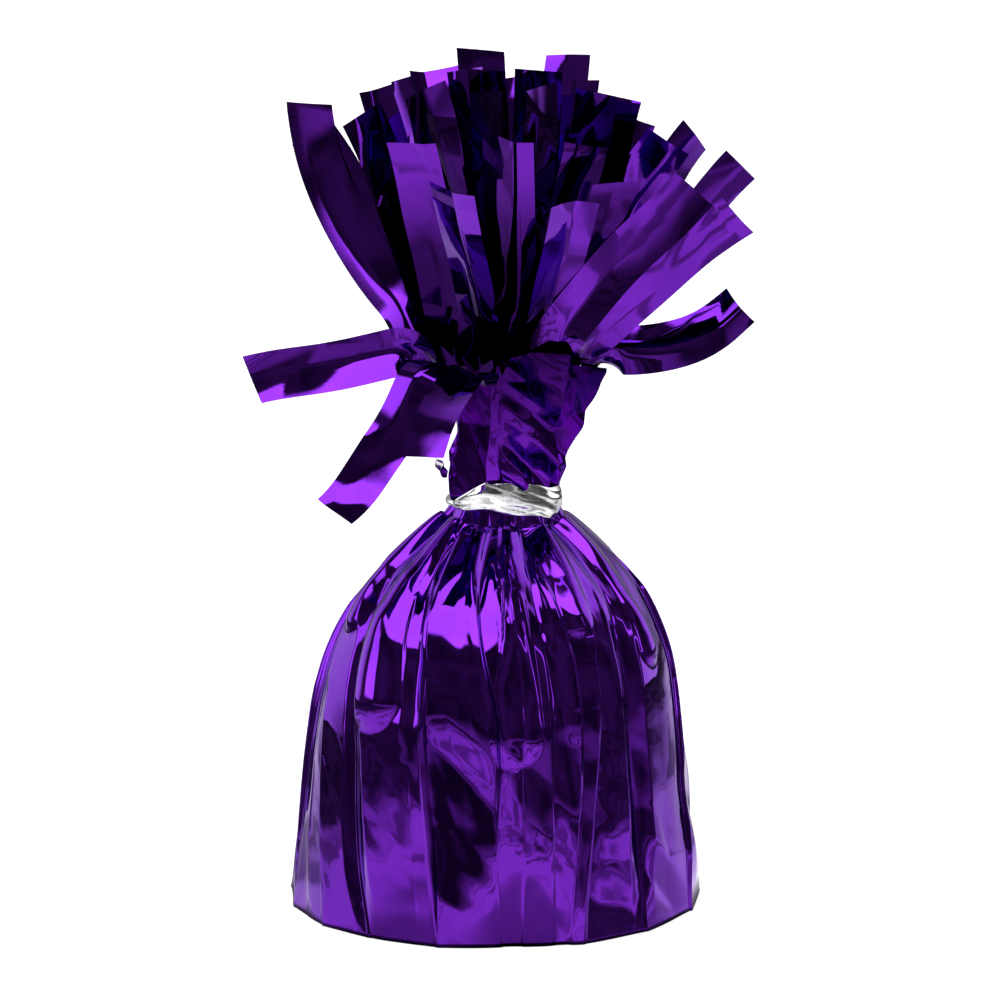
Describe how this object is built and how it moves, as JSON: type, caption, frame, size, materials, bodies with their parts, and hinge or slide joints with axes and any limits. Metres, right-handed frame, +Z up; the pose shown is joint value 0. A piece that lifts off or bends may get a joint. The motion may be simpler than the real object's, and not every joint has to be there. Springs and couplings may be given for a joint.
{
  "type": "balloon weight",
  "caption": "Table weight for balloons: a plaster slug wrapped in pleated metallised film, gathered by a silver tie into a spreading fringe of cut strips.",
  "frame": {"origin": "centre of the flat sole that it stands on", "axes": "+Z up through the neck and the fringe, -Y towards the viewer of the picture, +X to their right"},
  "size_m": [0.0843, 0.0713, 0.1408],
  "materials": {
    "purple_film": "mirror-bright metallised film, purple lacquer",
    "silver_film": "mirror-bright metallised film, uncoloured",
    "plaster": "matt cast plaster"
  },
  "bodies": {
    "wrapped_weight": {"foil_neck": "purple_film", "foil_skirt": "purple_film", "fringe_inner_left_front": "purple_film", "fringe_inner_left_rear": "purple_film", "fringe_inner_right_front": "purple_film", "fringe_inner_right_rear": "purple_film", "fringe_middle_front": "purple_film", "fringe_middle_left": "purple_film", "fringe_middle_left_front": "purple_film", "fringe_middle_rear_left": "purple_film", "fringe_middle_rear_right": "purple_film", "fringe_middle_right_front": "purple_film", "fringe_middle_right_rear": "purple_film", "fringe_outer_front_right": "purple_film", "fringe_outer_left": "purple_film", "fringe_outer_left_rear": "purple_film", "fringe_outer_rear": "purple_film", "fringe_outer_rear_left": "purple_film", "fringe_outer_rear_mid_left": "purple_film", "fringe_outer_rear_mid_right": "purple_film", "fringe_outer_rear_right": "purple_film", "fringe_outer_right": "purple_film", "fringe_outer_right_front": "purple_film", "fringe_outer_right_rear": "purple_film", "fringe_upper_front_left": "purple_film", "fringe_upper_front_right": "purple_film", "fringe_upper_left": "purple_film", "fringe_upper_left_rear": "purple_film", "fringe_upper_rear": "purple_film", "fringe_upper_rear_left": "purple_film", "fringe_upper_rear_right": "purple_film", "fringe_upper_right": "purple_film", "fringe_upper_right_front": "purple_film", "fringe_upper_right_rear": "purple_film", "tie_band": "silver_film", "tie_tail": "silver_film", "weight_core": "plaster"},
    "strip_left": {"loose_strip_left": "purple_film"},
    "strip_front_left": {"loose_strip_front_left": "purple_film"},
    "strip_front": {"loose_strip_front": "purple_film"},
    "strip_right": {"loose_strip_right": "purple_film"}
  },
  "joints": [
    {"name": "strip_left_bend", "type": "hinge", "parent": "wrapped_weight", "child": "strip_left", "pos_m": [-0.00878, -0.00549, 0.0901], "axis": [-0.1219, 0.9925, 0], "range_deg": [-20, 15], "stiffness_Nm_per_rad": 0.0015},
    {"name": "strip_front_left_bend", "type": "hinge", "parent": "wrapped_weight", "child": "strip_front_left", "pos_m": [-0.00587, -0.00951, 0.0901], "axis": [-0.5878, 0.809, 0], "range_deg": [-15, 20], "stiffness_Nm_per_rad": 0.0015},
    {"name": "strip_front_bend", "type": "hinge", "parent": "wrapped_weight", "child": "strip_front", "pos_m": [-0.00145, -0.01222, 0.0901], "axis": [-0.848, 0.5299, 0], "range_deg": [-10, 20], "stiffness_Nm_per_rad": 0.0015},
    {"name": "strip_right_bend", "type": "hinge", "parent": "wrapped_weight", "child": "strip_right", "pos_m": [0.01488, -0.00529, 0.0901], "axis": [-0.342, -0.9397, 0], "range_deg": [-20, 12], "stiffness_Nm_per_rad": 0.0015}
  ]
}
